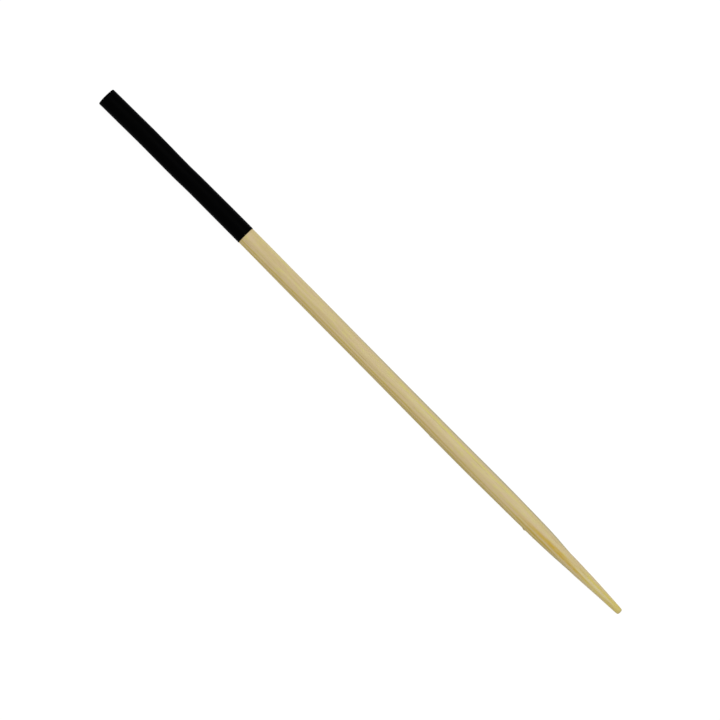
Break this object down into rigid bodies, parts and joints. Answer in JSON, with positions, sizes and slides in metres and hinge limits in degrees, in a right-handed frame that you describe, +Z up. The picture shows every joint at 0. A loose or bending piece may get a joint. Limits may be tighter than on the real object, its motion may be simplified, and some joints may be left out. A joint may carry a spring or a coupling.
{
  "type": "chopstick",
  "caption": "Round bamboo chopstick with a soft shoulder, a slender blunt point and a black lacquered thick end.",
  "frame": {"origin": "middle of the stick's length, on the surface it lies on", "axes": "+X along the stick towards its thin tip, +Z up, +Y completes a right-handed frame"},
  "size_m": [0.23, 0.0064, 0.0064],
  "materials": {
    "bamboo": "satin",
    "black_lacquer": "satin"
  },
  "bodies": {
    "root": {"bamboo_stick": "bamboo", "black_lacquer_end": "black_lacquer"}
  },
  "joints": []
}
